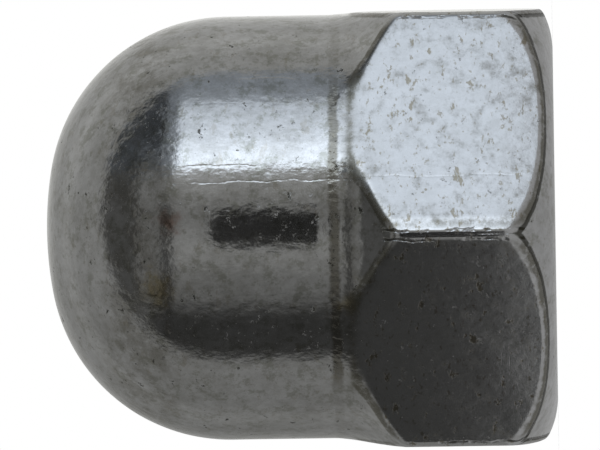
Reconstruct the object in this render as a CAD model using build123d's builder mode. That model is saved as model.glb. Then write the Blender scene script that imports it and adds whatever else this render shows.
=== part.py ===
"""Hexagon cap nut with a closed dome, M8 coarse thread, cold forged as one piece of steel.

The part stands on its bearing face. Its origin is the centre of that face, +Z runs along the thread's axis to the
tip of the dome, two of the hexagon's flats face +X and -X, and two of its corners point along +Y and -Y.
All sizes are in millimetres and all angles in degrees.
"""

import os
from math import atan2, degrees, radians, sqrt, tan

from build123d import *

# Whole nut
TOTAL_HEIGHT = 15.0

# Hexagon, whose six upright edges are slightly rounded where the forging die isn't quite filled
WIDTH_ACROSS_FLATS = 12.65
EDGE_ROUNDING = 0.33

# Bearing side: the width of the flat ring around the bore's mouth, the height of the arc that rolls up from it, and how
# far past the hexagon's sharp corners that arc ends
BEARING_RING_WIDTH = 0.8
BEARING_ROUNDING_HEIGHT = 2.5
CORNER_CLEARANCE = 0.2965

# Neck: the cone that trims the corners' upper ends, its angle from the axis, the height where it would meet the bare
# barrel, and the hollow fillet that runs it into the barrel
NECK_CONE_ANGLE = 36.5
NECK_HEIGHT = 5.88
NECK_FILLET = 2.3

# Barrel and dome: how far the barrel lies inside the flats, and the shape of the dome, which rolls in from the barrel
# on a shoulder arc and closes on a flatter tip arc, as shares of the barrel's radius
BARREL_SETBACK = 0.075
DOME_HEIGHT_SHARE = 0.8592
DOME_TIP_RADIUS_SHARE = 1.712

# Bore: cored for an M8 thread of 1.25 mm pitch, blind, with a drilled end and a countersunk mouth
THREAD_MINOR_DIAMETER = 6.647
DRILL_POINT_ANGLE = 118.0
TIP_WALL = 2.0
MOUTH_WIDENING = 0.9765
MOUTH_ANGLE = 90.0

core_radius = THREAD_MINOR_DIAMETER / 2
drill_tip = TOTAL_HEIGHT - TIP_WALL
core_end = drill_tip - core_radius / tan(radians(DRILL_POINT_ANGLE / 2))
mouth_radius = core_radius + MOUTH_WIDENING
mouth_depth = MOUTH_WIDENING / tan(radians(MOUTH_ANGLE / 2))
bearing_radius = mouth_radius + BEARING_RING_WIDTH

barrel_radius = WIDTH_ACROSS_FLATS / 2 - BARREL_SETBACK

# The trimming profile is widest where the bearing arc ends, and its cone starts from that width
trim_radius = WIDTH_ACROSS_FLATS / sqrt(3) + CORNER_CLEARANCE
cone_foot = NECK_HEIGHT - (trim_radius - barrel_radius) / tan(radians(NECK_CONE_ANGLE))
neck_top = NECK_HEIGHT + NECK_FILLET * tan(radians(NECK_CONE_ANGLE / 2))

# The shoulder arc is tangent to the barrel and to the tip arc, whose centre is on the axis
dome_height = DOME_HEIGHT_SHARE * barrel_radius
tip_radius = DOME_TIP_RADIUS_SHARE * barrel_radius
dome_foot = TOTAL_HEIGHT - dome_height
tip_centre_depth = tip_radius - dome_height
shoulder_radius = (tip_radius**2 - barrel_radius**2 - tip_centre_depth**2) / (2 * (tip_radius - barrel_radius))
shoulder_sweep = degrees(atan2(tip_centre_depth, barrel_radius - shoulder_radius))

with BuildPart() as cap_nut:
    # Hexagonal prism, tall enough to hold the neck's fillet
    with BuildSketch() as hexagon:
        RegularPolygon(WIDTH_ACROSS_FLATS / 2, side_count=6, major_radius=False, rotation=30)
        fillet(hexagon.vertices(), radius=EDGE_ROUNDING)
    extrude(amount=neck_top)

    # Trimmed to the round profile: bearing arc below, neck cone and its fillet above
    with BuildSketch(Plane.XZ):
        with BuildLine() as trim_line:
            bearing_ring = Line((0, 0), (bearing_radius, 0))
            bearing_arc = EllipticalCenterArc(
                (bearing_radius, BEARING_ROUNDING_HEIGHT),
                trim_radius - bearing_radius,
                BEARING_ROUNDING_HEIGHT,
                start_angle=270,
                arc_size=90,
            )
            girth = Line(bearing_arc @ 1, (trim_radius, cone_foot))
            neck = FilletPolyline(
                girth @ 1,
                (barrel_radius, NECK_HEIGHT),
                (barrel_radius, neck_top + NECK_FILLET),
                radius=NECK_FILLET,
            )
            Polyline(neck @ 1, (0, neck_top + NECK_FILLET), (0, 0))
        make_face()
    revolve(axis=Axis.Z, mode=Mode.INTERSECT)

    # Barrel and dome
    with BuildSketch(Plane.XZ):
        with BuildLine():
            barrel = Polyline((0, NECK_HEIGHT), (barrel_radius, NECK_HEIGHT), (barrel_radius, dome_foot))
            shoulder = JernArc(barrel @ 1, (0, 1), shoulder_radius, shoulder_sweep)
            tip = TangentArc(shoulder @ 1, (0, TOTAL_HEIGHT), tangent=shoulder % 1)
            Line(tip @ 1, barrel @ 0)
        make_face()
    revolve(axis=Axis.Z)

    # Blind bore with its countersunk mouth and drill point
    with BuildSketch(Plane.XZ):
        with BuildLine():
            Polyline(
                (0, 0),
                (mouth_radius, 0),
                (core_radius, mouth_depth),
                (core_radius, core_end),
                (0, drill_tip),
                close=True,
            )
        make_face()
    revolve(axis=Axis.Z, mode=Mode.SUBTRACT)

cap_nut.part.label = "cap_nut"

os.makedirs("parts", exist_ok=True)
export_step(cap_nut.part, "parts/cap_nut.step")
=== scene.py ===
"""Looks of a worn, zinc-plated hexagon cap nut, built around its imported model.

The nut stands on its bearing face at the origin. Its axis is along +Z, and two of its flats face +X and -X.
Sizes are in millimetres and angles in degrees, and each mesh is written in metres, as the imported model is.
"""

from __future__ import annotations

import logging
from dataclasses import dataclass
from enum import Enum
from math import atan, atan2, cos, degrees, hypot, pi, radians, sin, sqrt, tan

import bmesh
import bpy
from mathutils import Matrix, Vector, noise

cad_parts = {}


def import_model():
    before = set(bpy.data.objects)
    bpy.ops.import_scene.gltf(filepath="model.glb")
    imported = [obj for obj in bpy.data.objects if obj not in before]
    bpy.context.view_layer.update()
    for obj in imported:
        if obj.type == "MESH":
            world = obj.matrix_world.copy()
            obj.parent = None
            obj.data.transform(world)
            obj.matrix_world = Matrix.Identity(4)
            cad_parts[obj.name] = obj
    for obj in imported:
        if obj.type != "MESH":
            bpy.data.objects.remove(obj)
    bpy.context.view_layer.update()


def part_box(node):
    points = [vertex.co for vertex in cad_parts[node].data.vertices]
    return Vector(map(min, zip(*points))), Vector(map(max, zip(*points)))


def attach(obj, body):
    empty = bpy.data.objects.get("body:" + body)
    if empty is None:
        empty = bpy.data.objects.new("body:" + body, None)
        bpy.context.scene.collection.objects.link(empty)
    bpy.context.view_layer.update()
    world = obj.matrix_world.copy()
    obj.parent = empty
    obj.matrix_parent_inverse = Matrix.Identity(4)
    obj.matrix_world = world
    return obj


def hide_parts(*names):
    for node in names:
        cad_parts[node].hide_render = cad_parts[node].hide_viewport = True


LOG = logging.getLogger("cap_nut")
MM = 0.001
NODE = "cap_nut"
BODY = "root"
FLATS = 6
SECTOR = 2 * pi / FLATS
EVEN = (1.0, 1.0, 1.0)
WHITE = (1.0, 1.0, 1.0, 1.0)
SAME_PLACE = 1e-5

Colour = tuple[float, float, float, float]
Span = tuple[float, float]
Stops = tuple[tuple[float, float], ...]


# ------------------------------------------------------------------------------ shader expressions


class Channel:
    """A socket of a node tree that can be used as a number or a colour in an expression."""

    def __init__(self, graph: "Graph", socket: bpy.types.NodeSocket) -> None:
        """Wraps a socket.

        Args:
            graph: The graph that the socket is in.
            socket: The output socket to read.
        """
        self.graph = graph
        self.socket = socket

    def math(self, operation: str, *others: "Channel | float") -> "Channel":
        """Returns this number put through a Math node.

        Args:
            operation: The Math node's operation.
            others: The node's other inputs.

        Returns:
            The node's result.
        """
        return self.graph.add("ShaderNodeMath", {"operation": operation}, dict(enumerate((self, *others))))

    def __add__(self, other: "Channel | float") -> "Channel":
        """Returns the sum."""
        return self.math("ADD", other)

    __radd__ = __add__

    def __sub__(self, other: "Channel | float") -> "Channel":
        """Returns the difference."""
        return self.math("SUBTRACT", other)

    def __rsub__(self, other: float) -> "Channel":
        """Returns a plain number less this one."""
        return self.graph.add("ShaderNodeMath", {"operation": "SUBTRACT"}, {0: other, 1: self})

    def __mul__(self, other: "Channel | float") -> "Channel":
        """Returns the product."""
        return self.math("MULTIPLY", other)

    __rmul__ = __mul__

    def __truediv__(self, other: "Channel | float") -> "Channel":
        """Returns the quotient."""
        return self.math("DIVIDE", other)

    def rise(self, start: float, end: float) -> "Channel":
        """Returns a smooth step of this number.

        Args:
            start: The number at which the step is 0.
            end: The number at which the step is 1, which may be the smaller one.

        Returns:
            The step, from 0 to 1.
        """
        settings = {"interpolation_type": "SMOOTHSTEP"}
        if start <= end:
            return self.graph.add("ShaderNodeMapRange", settings, {0: self, 1: start, 2: end, 3: 0.0, 4: 1.0})
        return self.graph.add("ShaderNodeMapRange", settings, {0: self, 1: end, 2: start, 3: 1.0, 4: 0.0})

    def band(self, low: float, high: float, soft: float) -> "Channel":
        """Returns 1 where this number lies between two limits and 0 elsewhere.

        Args:
            low: The lower limit.
            high: The upper limit.
            soft: The width of the soft edge at each limit.

        Returns:
            The band, from 0 to 1.
        """
        half = soft / 2
        return self.rise(low - half, low + half) * self.rise(high + half, high - half)

    def curve(self, stops: Stops, low: float, high: float) -> "Channel":
        """Returns a number that follows stops along this one.

        Args:
            stops: Pairs of a place and the number there.
            low: The place at the start of the ramp.
            high: The place at the end of the ramp.

        Returns:
            The number in between, smoothly joined.
        """
        top = max(value for _, value in stops)
        ramp = [((place - low) / (high - low), (value / top,) * 3 + (1.0,)) for place, value in stops]
        place = (self - low) / (high - low)
        return self.graph.add("ShaderNodeValToRGB", {"stops": ramp}, {0: place}) * top


class Graph:
    """A node tree that is being written."""

    def __init__(self, tree: bpy.types.NodeTree) -> None:
        """Empties a node tree.

        Args:
            tree: The tree to write into.
        """
        self.tree = tree
        tree.nodes.clear()

    def node(self, kind: str, settings: dict | None = None, sockets: dict | None = None) -> bpy.types.Node:
        """Adds any node.

        Args:
            kind: The node's type.
            settings: The node's properties, or a ramp's stops.
            sockets: The values or links of its input sockets, by name or number.

        Returns:
            The node.
        """
        node = self.tree.nodes.new(kind)
        for key, value in (settings or {}).items():
            if key == "stops":
                self._set_stops(node.color_ramp, value)
            else:
                setattr(node, key, value)
        for key, value in (sockets or {}).items():
            if isinstance(value, Channel):
                self.tree.links.new(value.socket, node.inputs[key])
            else:
                node.inputs[key].default_value = value
        return node

    def add(self, kind: str, settings: dict | None = None, sockets: dict | None = None,
            output: str | int = 0) -> Channel:
        """Adds any node and returns one of its outputs.

        Args:
            kind: The node's type.
            settings: The node's properties, or a ramp's stops.
            sockets: The values or links of its input sockets, by name or number.
            output: The output to return, by name or number.

        Returns:
            The output.
        """
        return Channel(self, self.node(kind, settings, sockets).outputs[output])

    @staticmethod
    def _set_stops(ramp: bpy.types.ColorRamp, stops: list[tuple[float, tuple]]) -> None:
        """Gives a colour ramp its stops.

        Args:
            ramp: The ramp.
            stops: Pairs of a place from 0 to 1 and a colour.
        """
        while len(ramp.elements) < len(stops):
            ramp.elements.new(1.0)
        for element, (place, colour) in zip(ramp.elements, stops):
            element.position = place
            element.color = colour

    def mix(self, amount: Channel | float, first: Channel | tuple, second: Channel | tuple) -> Channel:
        """Returns a colour between two.

        Args:
            amount: How much of the second colour shows.
            first: The colour at 0.
            second: The colour at 1.

        Returns:
            The mixed colour.
        """
        settings = {"data_type": "RGBA", "clamp_factor": True}
        return self.add("ShaderNodeMix", settings, {0: amount, 6: first, 7: second}, 2)

    def vector(self, operation: str, *inputs: Channel | tuple, output: str | int = 0) -> Channel:
        """Returns the result of a Vector Math node.

        Args:
            operation: The node's operation.
            inputs: The vectors that go in.
            output: The output to return.

        Returns:
            The node's result.
        """
        return self.add("ShaderNodeVectorMath", {"operation": operation}, dict(enumerate(inputs)), output)

    def split(self, vector: Channel) -> list[Channel]:
        """Returns the three parts of a vector."""
        node = self.node("ShaderNodeSeparateXYZ", None, {0: vector})
        return [Channel(self, output) for output in node.outputs]

    def millimetres(self) -> Channel:
        """Reads where the surface lies.

        Returns:
            The point on the piece, in millimetres.
        """
        place = self.vector("SCALE", self.add("ShaderNodeTexCoord", None, None, "Object"))
        place.socket.node.inputs["Scale"].default_value = 1 / MM
        return place

    def noise(self, place: Channel, pattern: Pattern) -> Channel:
        """Returns smooth noise, from about 0.2 to 0.8.

        Args:
            place: Where it is read, in millimetres.
            pattern: Its pattern.

        Returns:
            The noise.
        """
        per_mm, detail, roughness, stretch, shift = pattern.value
        move = (shift, shift * 0.7, -shift)
        scale = tuple(per_mm * s for s in stretch)
        spot = self.add("ShaderNodeMapping", None, {0: place, 1: move, 3: scale})
        sockets = {"Vector": spot, "Scale": 1.0, "Detail": detail, "Roughness": roughness}
        return self.add("ShaderNodeTexNoise", None, sockets)


class Pattern(Enum):
    """Noise patterns: features per millimetre, finer layers, their strength, stretch and shift."""

    ROLLING = (1.5, 6, 0.66, EVEN, 2.0)
    RIPPLE = (4.0, 2, 0.5, (1.0, 1.0, 0.7), 61.0)
    MOTTLE = (3.2, 6, 0.74, EVEN, 11.0)
    GRAIN = (9.0, 4, 0.7, EVEN, 41.0)
    CLOUD = (0.7, 6, 0.66, EVEN, 0.0)
    FILM = (2.1, 6, 0.78, EVEN, 53.0)
    SPECKS = (1.8, 5, 0.72, (1.0, 1.0, 1.7), 23.0)
    FLECKS = (4.2, 4, 0.7, (1.0, 1.0, 1.6), 37.0)
    BORDER_DRIFT = (1.9, 5, 0.7, EVEN, 0.0)
    FOLD_DRIFT = (1.5, 4, 0.65, EVEN, 7.0)
    FOLD_BREAKS = (0.8, 3, 0.6, EVEN, 19.0)
    DRAG_WANDER = (1.1, 4, 0.6, EVEN, 29.0)
    HANDLING = (1.3, 6, 0.75, EVEN, 31.0)
    COARSE_PITS = (2.2, 5, 0.68, (1.0, 1.0, 1.3), 5.0)
    FINE_PITS = (5.5, 5, 0.72, EVEN, 17.0)
    SCRATCHES_ALONG = (1.0, 2, 0.5, (8.0, 8.0, 0.3), 3.0)
    SCRATCHES_AROUND = (1.0, 2, 0.5, (0.4, 0.4, 9.0), 13.0)
    OIL = (0.8, 5, 0.65, EVEN, 0.0)
    TOOL_MARKS = (1.0, 2, 0.5, (0.6, 0.6, 14.0), 0.0)


class Patch(Enum):
    """Where noise turns into a patch: the noise at which the patch starts, and at which it is complete."""

    DULL = (0.38, 0.66)
    CLOUD = (0.36, 0.66)
    FILM = (0.5, 0.62)
    SPECK = (0.595, 0.65)
    FLECK = (0.6, 0.65)
    OUTLINE = (0.25, 0.52)
    CREASE = (0.3, 0.45)
    FOLD = (0.42, 0.56)
    NECK = (0.2, 0.5)
    SHOULDER = (0.4, 0.6)
    COARSE_PIT = (0.65, 0.7)
    FINE_PIT = (0.63, 0.72)
    SCRATCH_ALONG = (0.66, 0.74)
    SCRATCH_AROUND = (0.68, 0.76)
    OIL = (0.35, 0.7)


# ---------------------------------------------------------------------------------- nut's geometry


@dataclass(frozen=True)
class RowCounts:
    """Rows of vertices in each stretch of the outside, closest together where the flats' borders run."""

    ring: int = 8
    lower_rounding: int = 38
    upper_rounding: int = 7
    border_turn: float = -28.0
    girth: int = 10
    cone: int = 22
    fillet: int = 21
    barrel: int = 15
    shoulder: int = 36
    tip: int = 8


@dataclass(frozen=True)
class NutForm:
    """Sizes of the nut, in millimetres and degrees.

    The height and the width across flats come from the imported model's box. The rest are its own sizes.
    """

    across_flats: float
    height: float
    edge_rounding: float = 0.33
    ring_width: float = 0.8
    corner_clearance: float = 0.2965
    cone_angle: float = 36.5
    neck_height: float = 5.88
    neck_fillet: float = 2.3
    barrel_setback: float = 0.075
    dome_height_share: float = 0.8592
    tip_radius_share: float = 1.712
    thread_minor: float = 6.647
    thread_major: float = 8.0
    thread_pitch: float = 1.25
    mouth_widening: float = 0.9765
    drill_angle: float = 118.0
    tip_wall: float = 2.0

    @property
    def flat(self) -> float:
        """Distance from the axis to a flat."""
        return self.across_flats / 2

    @property
    def core(self) -> float:
        """Radius of the bore between the thread's roots."""
        return self.thread_minor / 2

    @property
    def mouth(self) -> float:
        """Radius of the countersunk mouth."""
        return self.core + self.mouth_widening

    @property
    def bearing(self) -> float:
        """Outer radius of the flat bearing ring."""
        return self.mouth + self.ring_width

    @property
    def trim(self) -> float:
        """Widest radius of the round profile that trims the hexagon."""
        return self.across_flats / sqrt(3) + self.corner_clearance

    @property
    def barrel(self) -> float:
        """Radius of the barrel."""
        return self.flat - self.barrel_setback

    @property
    def cone_foot(self) -> float:
        """Height at which the neck's cone leaves the widest radius."""
        return self.neck_height - (self.trim - self.barrel) / tan(radians(self.cone_angle))

    @property
    def neck_top(self) -> float:
        """Height at which the neck's fillet meets the barrel."""
        return self.neck_height + self.neck_fillet * tan(radians(self.cone_angle / 2))

    @property
    def drill_tip(self) -> float:
        """Height of the bore's point."""
        return self.height - self.tip_wall

    @property
    def core_end(self) -> float:
        """Height at which the bore's wall ends and its point begins."""
        return self.drill_tip - self.core / tan(radians(self.drill_angle / 2))

    def hexagon(self, turn: float) -> float:
        """Returns the hexagon's radius in a direction.

        Args:
            turn: The direction about the axis, in radians, from +X.

        Returns:
            The radius, with the corners rounded.
        """
        off_flat = abs((turn + SECTOR / 2) % SECTOR - SECTOR / 2)
        off_corner = SECTOR / 2 - off_flat
        inner = self.flat - self.edge_rounding
        centre = inner / cos(SECTOR / 2)
        if off_flat <= atan(inner * tan(SECTOR / 2) / self.flat):
            return self.flat / cos(off_flat)
        return centre * cos(off_corner) + sqrt(self.edge_rounding**2 - (centre * sin(off_corner)) ** 2)

    def outline(self, counts: RowCounts) -> list[tuple[float, float]]:
        """Returns the round profile from the bore's mouth to the dome's tip.

        Args:
            counts: How many rows each stretch has.

        Returns:
            The profile's points, as radius and height.
        """
        rounding = self.trim - self.bearing
        rows = line((self.mouth, 0.0), (self.bearing, 0.0), counts.ring)
        rows += arc(self.bearing, rounding, rounding, -90, counts.border_turn, counts.lower_rounding)
        rows += arc(self.bearing, rounding, rounding, counts.border_turn, 0, counts.upper_rounding)
        rows += line((self.trim, rounding), (self.trim, self.cone_foot), counts.girth)
        fillet_centre = self.barrel + self.neck_fillet
        fillet_foot = (
            fillet_centre - self.neck_fillet * cos(radians(self.cone_angle)),
            self.neck_top - self.neck_fillet * sin(radians(self.cone_angle)),
        )
        rows += line((self.trim, self.cone_foot), fillet_foot, counts.cone)
        turned = 180 + self.cone_angle
        rows += arc(fillet_centre, self.neck_top, self.neck_fillet, turned, 180, counts.fillet)
        dome_height = self.dome_height_share * self.barrel
        tip = self.tip_radius_share * self.barrel
        depth = tip - dome_height
        shoulder = (tip**2 - self.barrel**2 - depth**2) / (2 * (tip - self.barrel))
        foot = self.height - dome_height
        sweep = degrees(atan2(depth, self.barrel - shoulder))
        rows += line((self.barrel, self.neck_top), (self.barrel, foot), counts.barrel)
        rows += arc(self.barrel - shoulder, foot, shoulder, 0, sweep, counts.shoulder)
        rows += arc(0.0, self.height - tip, tip, sweep, 90, counts.tip)
        return rows + [(0.0, self.height)]


def arc(centre_radius: float, centre_height: float, radius: float, start: float, end: float,
        steps: int) -> list[tuple[float, float]]:
    """Returns points along an arc of a profile, without its last one.

    Args:
        centre_radius: The arc centre's distance from the axis.
        centre_height: The arc centre's height.
        radius: The arc's radius.
        start: The angle of its first point.
        end: The angle of its last point.
        steps: How many points there are.

    Returns:
        The points, as radius and height.
    """
    turns = [radians(start + (end - start) * i / steps) for i in range(steps)]
    return [(centre_radius + radius * cos(t), centre_height + radius * sin(t)) for t in turns]


def line(start: tuple[float, float], end: tuple[float, float], steps: int) -> list[tuple[float, float]]:
    """Returns points along a straight stretch of a profile, without its last one.

    Args:
        start: The first point, as radius and height.
        end: The point after the last.
        steps: How many points there are.

    Returns:
        The points, as radius and height.
    """
    return [tuple(a + (b - a) * i / steps for a, b in zip(start, end)) for i in range(steps)]


def soft_least(first: float, second: float, blend: float) -> float:
    """Returns the lesser of two numbers, rounded off where they cross.

    Args:
        first: One number.
        second: The other number.
        blend: How near they are where the rounding starts.

    Returns:
        The rounded lesser number.
    """
    near = max(blend - abs(first - second), 0.0) / blend
    return min(first, second) - near * near * blend / 4


def spun(rows: list[tuple[float, float]], steps: int) -> bmesh.types.BMesh:
    """Returns a profile spun about the axis.

    Args:
        rows: The profile's points, as radius and height in millimetres.
        steps: How many steps there are in the full turn.

    Returns:
        The spun mesh, still in millimetres.
    """
    mesh = bmesh.new()
    verts = [mesh.verts.new((radius, 0.0, height)) for radius, height in rows]
    edges = [mesh.edges.new(pair) for pair in zip(verts, verts[1:])]
    bmesh.ops.spin(
        mesh, geom=verts + edges, cent=(0, 0, 0), axis=(0, 0, 1), angle=2 * pi, steps=steps, use_merge=True,
    )
    bmesh.ops.remove_doubles(mesh, verts=mesh.verts[:], dist=SAME_PLACE)
    bmesh.ops.recalc_face_normals(mesh, faces=mesh.faces[:])
    return mesh


def written(mesh: bmesh.types.BMesh, name: str, material: bpy.types.Material) -> bpy.types.Object:
    """Returns an object that holds a mesh made in millimetres.

    Args:
        mesh: The mesh, which is freed.
        name: The object's name.
        material: The object's material.

    Returns:
        The object, smooth shaded, at the origin.
    """
    bmesh.ops.scale(mesh, vec=(MM, MM, MM), verts=mesh.verts[:])
    for face in mesh.faces:
        face.smooth = True
    data = bpy.data.meshes.new(name)
    mesh.to_mesh(data)
    mesh.free()
    data.materials.append(material)
    piece = bpy.data.objects.new(name, data)
    bpy.context.scene.collection.objects.link(piece)
    return piece


@dataclass(frozen=True)
class ForgedShell:
    """The nut's outside: hexagon, bearing rounding, neck, barrel and dome in one forged skin."""

    form: NutForm
    steps: int = 576
    corner_crowding: float = 0.6
    border_rounding: float = 0.14
    least_rounding: float = 0.01
    ridge_waver: float = 0.016
    ridge_per_mm: float = 0.9
    ridge_fractal: tuple[float, float, int] = (0.8, 2.2, 4)
    flat_waver: float = 0.004
    flat_per_mm: float = 0.8
    skin_waver: float = 0.003
    skin_per_mm: float = 1.1
    skin_shift: tuple[float, float, float] = (7.0, 3.0, 1.0)
    neck_fade: float = 0.9
    ring_fade: float = 0.35
    ring_height: float = 1.0
    hexagon_reach: float = 9.0
    roll_width: float = 0.6
    roll_depth: float = 0.016
    roll_power: float = 1.3
    front_roll_depth: float = 0.066
    front_roll_turn: float = -86.0
    front_roll_spread: float = 12.0

    def build(self, material: bpy.types.Material) -> bpy.types.Object:
        """Returns the finished shell.

        Args:
            material: Its material.

        Returns:
            The object.
        """
        mesh = spun(self.form.outline(RowCounts()), self.steps)
        for vert in mesh.verts:
            vert.co = self.forged(vert.co)
        return written(mesh, "forged_shell", material)

    def forged(self, spot: Vector) -> Vector:
        """Returns where a point of the spun profile lies on the forged nut.

        Args:
            spot: The point on the round profile.

        Returns:
            The point on the nut.
        """
        radius = hypot(spot.x, spot.y)
        if radius < SAME_PLACE:
            return spot
        turn = atan2(spot.y, spot.x)
        turn -= self.corner_crowding / FLATS * sin(FLATS * (turn - pi / 2))
        around = Vector((cos(turn), sin(turn), 0.0)) * min(radius, self.form.flat)
        place = around + Vector((0.0, 0.0, spot.z))
        below_barrel = 1.0 - smooth((spot.z - self.form.neck_height) / self.neck_fade)
        off_ring = smooth((radius - self.form.bearing) / self.ring_fade) if spot.z < self.ring_height else 1.0
        wavy = noise.fractal(place * self.ridge_per_mm, *self.ridge_fractal)
        ridge = wavy * self.ridge_waver * below_barrel * off_ring
        skin = noise.noise(place * self.skin_per_mm + Vector(self.skin_shift)) * self.skin_waver * off_ring
        trimmed = radius + ridge + skin
        if spot.z >= self.hexagon_reach:
            return Vector((cos(turn) * trimmed, sin(turn) * trimmed, spot.z))
        waver = (noise.noise(place * self.flat_per_mm) - 1.0) * self.flat_waver
        flat = self.form.hexagon(turn) + waver - self.rolled(turn)
        blend = self.border_rounding * below_barrel + self.least_rounding
        reach = min(soft_least(trimmed, flat, blend), self.form.hexagon(turn))
        return Vector((cos(turn) * reach, sin(turn) * reach, spot.z))

    def rolled(self, turn: float) -> float:
        """Returns how far a flat falls away towards its upright edges, most at the front one.

        Args:
            turn: The direction about the axis, in radians.

        Returns:
            The fall, in millimetres.
        """
        off_flat = abs((turn + SECTOR / 2) % SECTOR - SECTOR / 2)
        from_edge = self.form.flat * (tan(SECTOR / 2) - tan(off_flat))
        near = max(1.0 - from_edge / self.roll_width, 0.0)
        front = smooth(1.0 - abs(turn - radians(self.front_roll_turn)) / radians(self.front_roll_spread))
        return (self.roll_depth + self.front_roll_depth * front) * near**self.roll_power


def smooth(amount: float) -> float:
    """Returns a smooth step of a number between 0 and 1."""
    amount = min(max(amount, 0.0), 1.0)
    return amount * amount * (3 - 2 * amount)


@dataclass(frozen=True)
class ThreadedBore:
    """The blind bore with its countersunk mouth, its right-handed thread and its drilled point."""

    form: NutForm
    steps: int = 144
    rows_per_turn: int = 12
    point_rows: int = 12
    end_gap: float = 0.05
    plain_end: float = 0.2
    runout: float = 1.1

    def build(self, material: bpy.types.Material) -> bpy.types.Object:
        """Returns the finished bore.

        Args:
            material: Its material.

        Returns:
            The object.
        """
        form = self.form
        rise = form.thread_pitch / self.rows_per_turn
        count = int((form.core_end - self.end_gap) / rise)
        rows = [(form.core, i * rise) for i in range(count)]
        drill_tip = (0.0, form.drill_tip)
        rows += line((form.core, form.core_end), drill_tip, self.point_rows) + [drill_tip]
        mesh = spun(rows, self.steps)
        for vert in mesh.verts:
            vert.co = self.cut(vert.co)
        for face in mesh.faces:
            face.normal_flip()
        return written(mesh, "threaded_bore", material)

    def cut(self, spot: Vector) -> Vector:
        """Returns where a point of the plain bore lies on the threaded one.

        Args:
            spot: The point on the plain bore.

        Returns:
            The point on the thread, the countersink or the drilled point.
        """
        form = self.form
        if spot.z > form.core_end - self.end_gap:
            return spot
        turn = atan2(spot.y, spot.x)
        phase = (spot.z / form.thread_pitch - turn / (2 * pi)) % 1.0
        fade = smooth((form.core_end - self.plain_end - spot.z) / self.runout)
        depth = (form.thread_major - form.thread_minor) / 2 * tooth(phase) * fade
        countersink = form.mouth - spot.z
        reach = max(form.core + depth, countersink)
        return Vector((cos(turn) * reach, sin(turn) * reach, spot.z))


def tooth(phase: float) -> float:
    """Returns how deep a 60 degree thread is cut.

    Args:
        phase: The place along the pitch, from 0 to 1.

    Returns:
        The depth, from 0 at the crest to 1 at the root.
    """
    crest = 0.125
    return min(max((abs(phase - 0.5) * 2 - crest) / (1 - 2 * crest), 0.0), 1.0)


# ---------------------------------------------------------------------------------------- finishes


class Stain(Enum):
    """Local stains: where each lies in millimetres, its radius, and its colour."""

    SHOULDER_RUST = ((0.48, -6.01, 11.08), 0.55, (0.21, 0.10, 0.06, 1.0))
    SHOULDER_OCHRE = ((-1.5, -5.65, 11.4), 0.75, (0.30, 0.24, 0.11, 1.0))
    NECK_OCHRE = ((-2.0, -6.05, 5.95), 0.42, (0.30, 0.25, 0.12, 1.0))
    NECK_RUST = ((2.4, 5.7, 6.3), 0.8, (0.22, 0.11, 0.06, 1.0))
    BACK_RUST = ((-3.9, 3.7, 11.2), 0.9, (0.21, 0.11, 0.06, 1.0))


class DragMark(Enum):
    """Long marks along the axis: direction in degrees, lowest and highest point, and depth in millimetres."""

    LONG = (-75.4, 0.9, 10.5, 0.0022)
    LAMP_EDGE = (-71.0, 8.5, 10.5, 0.0016)
    SHORT = (-44.0, 7.4, 9.1, 0.003)
    BACK = (63.0, 1.2, 9.4, 0.0025)
    SIDE = (172.0, 6.9, 9.9, 0.0025)


@dataclass(frozen=True)
class Share:
    """An amount that differs on the flats, which the dies pressed smoother than the rest."""

    elsewhere: float
    on_flats: float

    def at(self, on_flat: Channel) -> Channel:
        """Returns the amount at a point.

        Args:
            on_flat: Whether the point is on a flat, from 0 to 1.

        Returns:
            The amount.
        """
        return self.elsewhere + on_flat * (self.on_flats - self.elsewhere)


class Skin:
    """The place of a point on the nut's outside, as its finish needs it."""

    def __init__(self, graph: Graph, form: NutForm) -> None:
        """Adds the nodes that find the place.

        Args:
            graph: The material's graph.
            form: The nut's sizes.
        """
        self.graph = graph
        self.form = form
        self.place = graph.millimetres()
        x, self.y, self.height = graph.split(self.place)
        self.turn = self.y.math("ARCTAN2", x)
        off_flat = self.turn - (self.turn + SECTOR / 2).math("SNAP", SECTOR)
        level = graph.add("ShaderNodeCombineXYZ", None, {0: x, 1: self.y})
        reach = graph.vector("LENGTH", level, output="Value")
        self.below_flat = form.flat - reach * off_flat.math("COSINE")
        aside = off_flat.math("ABSOLUTE").math("TANGENT") * form.flat
        self.from_edge = form.flat * tan(SECTOR / 2) - aside

    def noise(self, pattern: Pattern) -> Channel:
        """Returns a noise pattern's value at the point."""
        return self.graph.noise(self.place, pattern)

    def patches(self, pattern: Pattern, patch: Patch) -> Channel:
        """Returns the patches that a noise pattern turns into, from 0 to 1."""
        return self.noise(pattern).rise(*patch.value)


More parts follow.
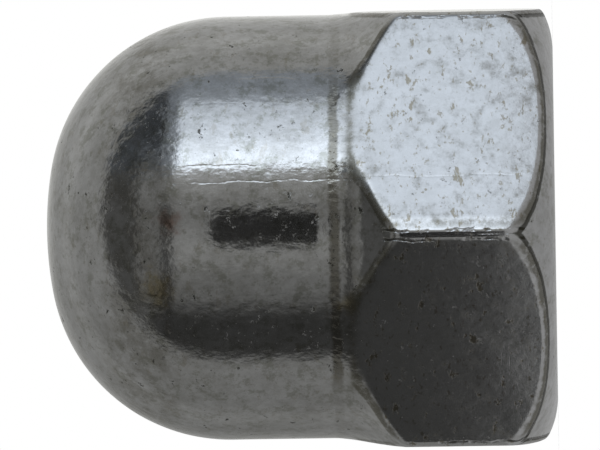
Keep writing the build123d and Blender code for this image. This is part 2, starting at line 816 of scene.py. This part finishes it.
@dataclass(frozen=True)
class FlatBorders:
    """Outlines, creases and folds that the forging left along the borders of the flats.

    Depths are below the plane of the flat, and the other sizes are heights or distances from an upright edge.
    """

    drift: float = 0.1
    soft: float = 0.04
    pressed_depth: Span = (0.13, 0.08)
    pressed_foot: float = 0.1
    outline_depth: Span = (0.02, 0.15)
    outline_top: Span = (0.15, -0.05)
    outline_from_edge: Span = (0.1, 0.5)
    crease_depth: Span = (0.12, 0.22)
    crease_height: Span = (2.8, 2.2)
    fold_drift: float = 0.3
    fold_from_edge: Span = (0.11, 0.2)
    fold_height: Span = (0.9, 4.9)
    fold_fade: float = 0.3

    def on_flat(self, skin: Skin) -> Channel:
        """Returns whether a point is on a flat, from 0 to 1."""
        height = skin.height.band(self.pressed_foot, skin.form.neck_height, self.pressed_foot)
        return skin.below_flat.rise(*self.pressed_depth) * height

    def uneven_depth(self, skin: Skin) -> Channel:
        """Returns how far a point is below its flat, wandering as the border does."""
        return skin.below_flat + (skin.noise(Pattern.BORDER_DRIFT) - 0.5) * self.drift

    def outline(self, skin: Skin, mottle: Channel) -> Channel:
        """Returns the dull outline of each flat.

        Args:
            skin: The point's place.
            mottle: The plate's mottling there.

        Returns:
            The outline, from 0 to 1.
        """
        start, end = (skin.form.neck_height + above for above in self.outline_top)
        border = self.uneven_depth(skin).band(*self.outline_depth, self.soft) * skin.height.rise(start, end)
        return border * mottle.rise(*Patch.OUTLINE.value) * skin.from_edge.rise(*self.outline_from_edge)

    def crease(self, skin: Skin, mottle: Channel) -> Channel:
        """Returns the crease under each flat and the broken fold beside each upright edge, which the material
        darkens as painted shade of a groove too fine for the mesh.

        Args:
            skin: The point's place.
            mottle: The plate's mottling there.

        Returns:
            The crease, from 0 to 1.
        """
        under = self.uneven_depth(skin).band(*self.crease_depth, self.soft) * mottle.rise(*Patch.CREASE.value)
        from_edge = skin.from_edge + (skin.noise(Pattern.FOLD_DRIFT) - 0.5) * self.fold_drift
        broken = skin.patches(Pattern.FOLD_BREAKS, Patch.FOLD)
        fold = from_edge.band(*self.fold_from_edge, self.soft) * broken
        fold = fold * skin.height.band(*self.fold_height, self.fold_fade)
        return under * skin.height.rise(*self.crease_height) + fold


@dataclass(frozen=True)
class Handling:
    """Dirt, pits and marks from handling.

    The neck's two rings of dirt are placed from the top of the neck, and the shoulder's dirt by its height.
    """

    neck_wander: float = 0.4
    shoulder_wander: float = 1.1
    handled_side: Span = (-0.66, -0.8)
    least_handled: float = 0.25
    dark_ring: Span = (-0.44, -0.16)
    dark_ring_soft: float = 0.12
    dark_ring_dirt: float = 0.85
    pale_ring: Span = (-0.95, -0.55)
    pale_ring_soft: float = 0.3
    pale_ring_dirt: float = 0.35
    shoulder: Span = (11.2, 13.0)
    shoulder_soft: float = 0.9
    shoulder_dirt: float = 0.5
    coarse_pits_in_dirt: float = 0.03
    fine_pits_in_dirt: float = 0.05
    fine_pits: float = 0.7
    around_share: float = 0.6
    drag_wander: float = 0.3
    drag_width: Span = (-0.02, 0.02)
    drag_soft: float = 0.05
    drag_fade: float = 0.4

    def soil(self, skin: Skin) -> Channel:
        """Finds where dirt has settled, in the neck and around the dome's shoulder.

        Args:
            skin: The nut's outside.

        Returns:
            The dirt's depth, from 0 to 1.
        """
        patchy = skin.noise(Pattern.HANDLING)
        side = (skin.y / skin.form.barrel).rise(*self.handled_side)
        handled = self.least_handled + side * (1.0 - self.least_handled)
        from_top = skin.height + (patchy - 0.5) * self.neck_wander - skin.form.neck_top
        neck = from_top.band(*self.dark_ring, self.dark_ring_soft) * self.dark_ring_dirt
        neck = neck + from_top.band(*self.pale_ring, self.pale_ring_soft) * self.pale_ring_dirt
        uneven = skin.height + (patchy - 0.5) * self.shoulder_wander
        shoulder = uneven.band(*self.shoulder, self.shoulder_soft) * patchy.rise(*Patch.SHOULDER.value)
        return neck * handled * patchy.rise(*Patch.NECK.value) + shoulder * self.shoulder_dirt

    def pits(self, skin: Skin, soil: Channel) -> Channel:
        """Returns where the plate is pitted, more so where it is soiled.

        Args:
            skin: The point's place.
            soil: Where dirt has settled.

        Returns:
            The pits, from 0 to 1.
        """
        coarse = skin.noise(Pattern.COARSE_PITS) + soil * self.coarse_pits_in_dirt
        fine = skin.noise(Pattern.FINE_PITS) + soil * self.fine_pits_in_dirt
        pits = coarse.rise(*Patch.COARSE_PIT.value) + fine.rise(*Patch.FINE_PIT.value) * self.fine_pits
        return pits.math("MINIMUM", 1.0)

    def scratches(self, skin: Skin) -> Channel:
        """Returns fine scratches along the axis and across it, from 0 to 1."""
        along = skin.patches(Pattern.SCRATCHES_ALONG, Patch.SCRATCH_ALONG)
        return along + skin.patches(Pattern.SCRATCHES_AROUND, Patch.SCRATCH_AROUND) * self.around_share

    def drag_marks(self, skin: Skin) -> Channel:
        """Draws the long marks along the axis.

        Args:
            skin: The nut's outside.

        Returns:
            The marks' depth, in millimetres.
        """
        wander = (skin.noise(Pattern.DRAG_WANDER) - 0.5) * self.drag_wander
        around = skin.turn * skin.form.barrel + wander
        marks = []
        for mark in DragMark:
            turn, low, high, depth = mark.value
            width = (around - radians(turn) * skin.form.barrel).band(*self.drag_width, self.drag_soft)
            marks.append(width * skin.height.band(low, high, self.drag_fade) * depth)
        return sum(marks)


@dataclass(frozen=True)
class WornZinc:
    """Dull zinc plate over forged steel, stained, pitted and scratched by handling, with painted shade
    darkening the creases and folds along the flats.
    """

    form: NutForm
    clean: Colour = (0.56, 0.565, 0.57, 1.0)
    dull: Colour = (0.39, 0.39, 0.38, 1.0)
    film: Colour = (0.22, 0.225, 0.18, 1.0)
    soiled: Colour = (0.19, 0.18, 0.15, 1.0)
    tan: Colour = (0.25, 0.22, 0.155, 1.0)
    border: Colour = (0.14, 0.132, 0.1, 1.0)
    # Grime darkens the pits; the same colour is painted into the creases and folds as shade.
    grime_and_crease_shade: Colour = (0.05, 0.048, 0.036, 1.0)

    clouding: Share = Share(0.5, 0.12)
    mottling: Share = Share(0.5, 0.2)
    filming: Share = Share(0.5, 0.08)
    specking: Share = Share(0.35, 1.0)
    flecking: Share = Share(0.25, 0.75)
    pitting: Share = Share(0.85, 0.5)
    tan_cover: float = 0.8
    stain_cover: float = 0.6
    stain_border: Span = (2.2, 1.3)
    stain_raggedness: float = 2.4
    outline_cover: float = 0.8
    # How far the creases and folds are darkened with painted shade.
    crease_shade_cover: float = 0.85

    rolling: Share = Share(0.0055, 0.0025)
    ripple: Share = Share(0.008, 0.002)
    ripple_in_dirt: float = 0.03
    mottle_relief: Share = Share(0.0018, 0.0008)
    grain_relief: float = 0.0005
    pit_depth: Share = Share(0.003, 0.0005)
    speck_depth: float = 0.0006
    scratch_depth: float = 0.0004
    crease_depth: float = 0.03
    ridge_heights: Span = (6.87, 6.45)
    ridge_rise: float = 0.024

    def build(self) -> bpy.types.Material:
        """Makes the material of the nut's outside.

        Returns:
            The worn zinc plate.
        """
        material = bpy.data.materials.new("worn_zinc")
        material.use_nodes = True
        graph = Graph(material.node_tree)
        skin = Skin(graph, self.form)
        borders, handling = FlatBorders(), Handling()
        on_flat = borders.on_flat(skin)
        mottle = skin.noise(Pattern.MOTTLE)
        grain = skin.noise(Pattern.GRAIN)
        outline = borders.outline(skin, mottle)
        crease = borders.crease(skin, mottle)
        soil = handling.soil(skin)
        pits = handling.pits(skin, soil)
        specks = skin.patches(Pattern.SPECKS, Patch.SPECK) * self.specking.at(on_flat)
        flecks = skin.patches(Pattern.FLECKS, Patch.FLECK) * self.flecking.at(on_flat)

        clouds = skin.patches(Pattern.CLOUD, Patch.CLOUD) * self.clouding.at(on_flat)
        dulled = clouds + mottle.rise(*Patch.DULL.value) * self.mottling.at(on_flat)
        colour = graph.mix(dulled, self.clean, self.dull)
        filmed = skin.patches(Pattern.FILM, Patch.FILM) * self.filming.at(on_flat)
        colour = graph.mix(filmed, colour, self.film)
        colour = graph.mix(soil, colour, self.soiled)
        colour = graph.mix(specks.math("MAXIMUM", flecks) * self.tan_cover, colour, self.tan)
        for stain in Stain:
            centre, size, tint = stain.value
            away = graph.vector("DISTANCE", skin.place, centre, output="Value") / size
            stained = (away + mottle * self.stain_raggedness).rise(*self.stain_border)
            colour = graph.mix(stained * self.stain_cover, colour, tint)
        colour = graph.mix(pits * self.pitting.at(on_flat), colour, self.grime_and_crease_shade)
        colour = graph.mix(outline * self.outline_cover, colour, self.border)
        # Painted shade: the creases and folds are darkened to stand in for the shade of a groove too fine for
        # the mesh.
        colour = graph.mix(crease * self.crease_shade_cover, colour, self.grime_and_crease_shade)

        roughness = 0.05 + mottle * 0.09 + grain * 0.05 + soil * 0.08
        roughness = roughness + pits * 0.25 + outline * 0.15 + crease * 0.2
        height = (
            (skin.noise(Pattern.ROLLING) - 0.5) * self.rolling.at(on_flat)
            + (skin.noise(Pattern.RIPPLE) - 0.5) * (self.ripple.at(on_flat) + soil * self.ripple_in_dirt)
            + (mottle - 0.5) * self.mottle_relief.at(on_flat)
            + grain * self.grain_relief
            - pits * self.pit_depth.at(on_flat)
            - specks * self.speck_depth
            - handling.scratches(skin) * self.scratch_depth
            - crease * self.crease_depth
            + skin.height.rise(*self.ridge_heights) * self.ridge_rise
            - handling.drag_marks(skin)
        )
        bump = graph.add("ShaderNodeBump", None, {"Strength": 1.0, "Distance": MM, "Height": height})
        shader = graph.add("ShaderNodeBsdfPrincipled", None, {
            "Base Color": colour, "Metallic": 1.0, "Roughness": roughness, "Normal": bump,
        })
        graph.node("ShaderNodeOutputMaterial", None, {"Surface": shader})
        return material


@dataclass(frozen=True)
class OiledBore:
    """Cut steel of the thread, darker than the plated outside and ringed by tool marks."""

    steel: Colour = (0.32, 0.31, 0.29, 1.0)
    oil: Colour = (0.12, 0.11, 0.09, 1.0)
    tool_mark_relief: float = 0.004
    stain_relief: float = 0.003

    def build(self) -> bpy.types.Material:
        """Makes the material of the bore.

        Returns:
            The cut and oiled steel.
        """
        material = bpy.data.materials.new("cut_thread")
        material.use_nodes = True
        graph = Graph(material.node_tree)
        place = graph.millimetres()
        stain = graph.noise(place, Pattern.OIL)
        height = graph.noise(place, Pattern.TOOL_MARKS) * self.tool_mark_relief + stain * self.stain_relief
        shader = graph.add("ShaderNodeBsdfPrincipled", None, {
            "Base Color": graph.mix(stain.rise(*Patch.OIL.value), self.steel, self.oil),
            "Metallic": 1.0,
            "Roughness": 0.3 + stain * 0.3,
            "Normal": graph.add("ShaderNodeBump", None, {"Strength": 1.0, "Distance": MM, "Height": height}),
        })
        graph.node("ShaderNodeOutputMaterial", None, {"Surface": shader})
        return material


# ------------------------------------------------------------------------------------------ studio


class Side(Enum):
    """The directions that the studio is laid out by, as seen from the camera's side of the nut."""

    CAMERA = (0.0, -1.0, 0.0)
    LAMP = (1.0, 0.0, 0.0)
    DOME = (0.0, 0.0, 1.0)


@dataclass(frozen=True)
class Lens:
    """The dark front of the camera, mirrored in the barrel.

    Its angles are from the camera's direction: its rise towards the lamp, and its ends towards the dome.
    """

    rise: Span = (-8.0, 12.0)
    soft: float = 1.0
    middle: float = 2.0
    taper: float = 0.7
    dome_end: Span = (12.3, 10.3)
    neck_end: Span = (-5.0, -3.0)
    darkness: float = 0.9

    def shade(self, across: Channel, rise: Channel) -> Channel:
        """Returns how much of the light the lens takes away.

        Args:
            across: The angle towards the dome.
            rise: The angle towards the lamp.

        Returns:
            The share that is left, from 0 to 1.
        """
        tapered = across + (rise - self.middle).math("ABSOLUTE") * self.taper
        seen = rise.band(*self.rise, self.soft) * tapered.rise(*self.dome_end) * across.rise(*self.neck_end)
        return 1.0 - seen * self.darkness


@dataclass(frozen=True)
class Studio:
    """A light tent around the nut, open towards the camera, with a soft box to one side of the opening.

    All angles are from the camera's direction: across towards the dome, and rise towards the lamp.
    """

    column: Stops = (
        (-76, 0.058), (-50, 0.05), (-44, 0.065), (-38, 0.15), (-32, 0.2), (-24, 0.22),
        (-14, 0.32), (-9, 0.33), (10, 0.23), (24, 0.36), (33, 0.44), (36, 2.3),
        (43, 2.1), (54, 1.4), (66, 1.12), (73, 0.95), (77, 0.48), (95, 0.33),
    )
    column_span: Span = (-90.0, 100.0)
    column_end_above: Span = (44.0, 37.0)
    column_end_below: Span = (37.0, 31.0)
    above: Span = (8.0, 24.0)
    lamp_end: Span = (34.0, 27.0)
    past_lamp: float = 0.3
    darkest: float = 0.05
    shade_end: Span = (40.0, 60.0)
    shade_end_light: float = 0.05
    glow_across: Span = (40.5, 57.0)
    glow_across_soft: float = 6.0
    glow_rise: Span = (-40.0, 44.0)
    glow_rise_soft: float = 14.0
    glow_light: float = 0.15

    opening_lean: float = 11.0
    opening_border: Span = (88.0, 81.0)
    tent: Stops = ((60, 0.38), (110, 0.38), (124, 0.48), (140, 0.40), (160, 0.52), (180, 0.85))
    tent_span: Span = (60.0, 180.0)
    tent_level: float = 0.9
    tent_lift: float = 0.002
    tent_tint: Colour = (1.0, 1.0, 0.97, 1.0)
    lamp_tint: Colour = (0.82, 0.90, 1.0, 1.0)
    lamp_rise: Span = (34.0, 110.0)
    lamp_soft: float = 4.0

    floor_size: float = 150.0
    floor_sides: int = 96
    floor_white: float = 0.97
    floor_fade: Span = (0.2, 0.45)
    mirrored_white: float = 0.42

    def light(self) -> None:
        """Makes the world: white behind the nut, the tent and the soft box around it."""
        world = bpy.data.worlds.new("studio")
        bpy.context.scene.world = world
        world.use_nodes = True
        world.cycles.sampling_method = "NONE"
        graph = Graph(world.node_tree)
        ray = graph.vector("NORMALIZE", graph.add("ShaderNodeTexCoord", None, None, "Generated"))
        toward, up, left = (graph.vector("DOT_PRODUCT", ray, side.value, output="Value") for side in Side)
        off_camera = toward.math("MINIMUM", 0.9999).math("MAXIMUM", -0.9999).math("ARCCOSINE") * degrees(1.0)
        sideways = (1.0 - toward * toward).math("MAXIMUM", 1e-6).math("SQRT")
        across = off_camera * left / sideways
        rise = off_camera * up / sideways
        opening = off_camera - rise / off_camera.math("MAXIMUM", 1.0) * self.opening_lean
        inside = opening.rise(*self.opening_border)
        tent = off_camera.curve(self.tent, *self.tent_span) * (self.tent_level + rise * self.tent_lift)
        level = self.front(across, rise) * inside + tent * (1.0 - inside)
        lamp = rise.band(*self.lamp_rise, self.lamp_soft) * inside

        tint = graph.mix(lamp, self.tent_tint, self.lamp_tint)
        studio = graph.add("ShaderNodeBackground", None, {"Color": tint, "Strength": level})
        plain = graph.add("ShaderNodeBackground", None, {"Color": WHITE, "Strength": 1.0})
        path = graph.node("ShaderNodeLightPath")
        seen = Channel(graph, path.outputs["Is Camera Ray"]) + Channel(graph, path.outputs["Is Diffuse Ray"])
        shown = graph.add("ShaderNodeMixShader", None, {0: seen, 1: studio, 2: plain})
        graph.node("ShaderNodeOutputWorld", None, {"Surface": shown})

    def front(self, across: Channel, rise: Channel) -> Channel:
        """Returns the light through the tent's opening: the soft box, the room under it and the dark lens.

        Args:
            across: The angle towards the dome.
            rise: The angle towards the lamp.

        Returns:
            The light's strength.
        """
        lamp_end = across.rise(*self.lamp_end)
        column = rise.curve(self.column, *self.column_span)
        column = column * lamp_end + column.math("MINIMUM", self.past_lamp) * (1.0 - lamp_end)
        above = rise.rise(*self.above)
        near = across.rise(*self.column_end_above) * above
        near = near + across.rise(*self.column_end_below) * (1.0 - above)
        glow = across.band(*self.glow_across, self.glow_across_soft)
        glow = glow * rise.band(*self.glow_rise, self.glow_rise_soft)
        shade = self.darkest + across.rise(*self.shade_end) * self.shade_end_light + glow * self.glow_light
        return column * near * Lens().shade(across, rise) + shade * (1.0 - near)

    def lay_floor(self) -> None:
        """Makes the plain pale floor, which fades to the white behind it towards its edge."""
        mesh = bmesh.new()
        bmesh.ops.create_circle(mesh, cap_ends=True, segments=self.floor_sides, radius=self.floor_size / 2)
        material = bpy.data.materials.new("pale_floor")
        material.use_nodes = True
        graph = Graph(material.node_tree)
        from_nut = graph.vector("LENGTH", graph.millimetres(), output="Value")
        path = graph.node("ShaderNodeLightPath")
        start, end = (self.floor_size * share for share in self.floor_fade)
        fade = from_nut.rise(start, end) * Channel(graph, path.outputs["Is Camera Ray"])
        mirrored = Channel(graph, path.outputs["Is Glossy Ray"])
        pale = graph.add("ShaderNodeBsdfDiffuse", None, {"Color": (self.floor_white,) * 3 + (1.0,)})
        strength = 1.0 - mirrored * (1.0 - self.mirrored_white)
        white = graph.add("ShaderNodeEmission", None, {"Color": WHITE, "Strength": strength})
        shader = graph.add("ShaderNodeMixShader", None, {0: fade + mirrored, 1: pale, 2: white})
        graph.node("ShaderNodeOutputMaterial", None, {"Surface": shader})
        written(mesh, "floor", material)


@dataclass(frozen=True)
class Viewpoint:
    """The camera, level with the bearing face and turned on its side, so that the dome's tip points left."""

    distance: float = 200.0
    turned: float = 2.22
    dropped: float = 2.15
    rolled: float = 0.9
    off_left: float = 0.038
    off_up: float = -0.06
    focal_length: float = 406.1
    sensor_width: float = 36.0
    clip_start: float = 0.01
    clip_end: float = 5.0

    def place(self, height: float) -> None:
        """Makes the camera and sets it as the scene's.

        Args:
            height: The nut's height, in millimetres.
        """
        drop, roll = radians(self.dropped), radians(self.rolled)
        level = Matrix.Rotation(radians(self.turned), 3, "Z")
        down = Vector((0, 0, -1))
        lamp_side = level @ Vector(Side.LAMP.value)
        camera_side = level @ Vector(Side.CAMERA.value)
        across = down * cos(drop) - camera_side * sin(drop)
        toward = down * sin(drop) + camera_side * cos(drop)
        right = across * cos(roll) - lamp_side * sin(roll)
        up = across * sin(roll) + lamp_side * cos(roll)
        spot = Vector((0, 0, height / 2)) - right * self.off_left - up * self.off_up + toward * self.distance
        data = bpy.data.cameras.new("camera")
        data.lens = self.focal_length
        data.sensor_width = self.sensor_width
        data.clip_start = self.clip_start
        data.clip_end = self.clip_end
        camera = bpy.data.objects.new("camera", data)
        turned = Matrix((right, up, toward)).transposed().to_4x4()
        camera.matrix_world = Matrix.Translation(spot * MM) @ turned
        bpy.context.scene.collection.objects.link(camera)
        bpy.context.scene.camera = camera


def main() -> None:
    """Builds the nut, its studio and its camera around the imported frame."""
    logging.basicConfig(level=logging.INFO, format="%(name)s: %(message)s")
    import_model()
    low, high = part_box(NODE)
    form = NutForm(across_flats=(high[0] - low[0]) / MM, height=(high[2] - low[2]) / MM)
    bpy.context.scene.view_settings.view_transform = "Standard"

    pieces = [
        ForgedShell(form).build(WornZinc(form).build()),
        ThreadedBore(form).build(OiledBore().build()),
    ]
    for piece in pieces:
        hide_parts(NODE)
        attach(piece, BODY)
        LOG.info("%s: %d faces", piece.name, len(piece.data.polygons))

    studio = Studio()
    studio.light()
    studio.lay_floor()
    Viewpoint().place(form.height)


if __name__ == "__main__":
    main()
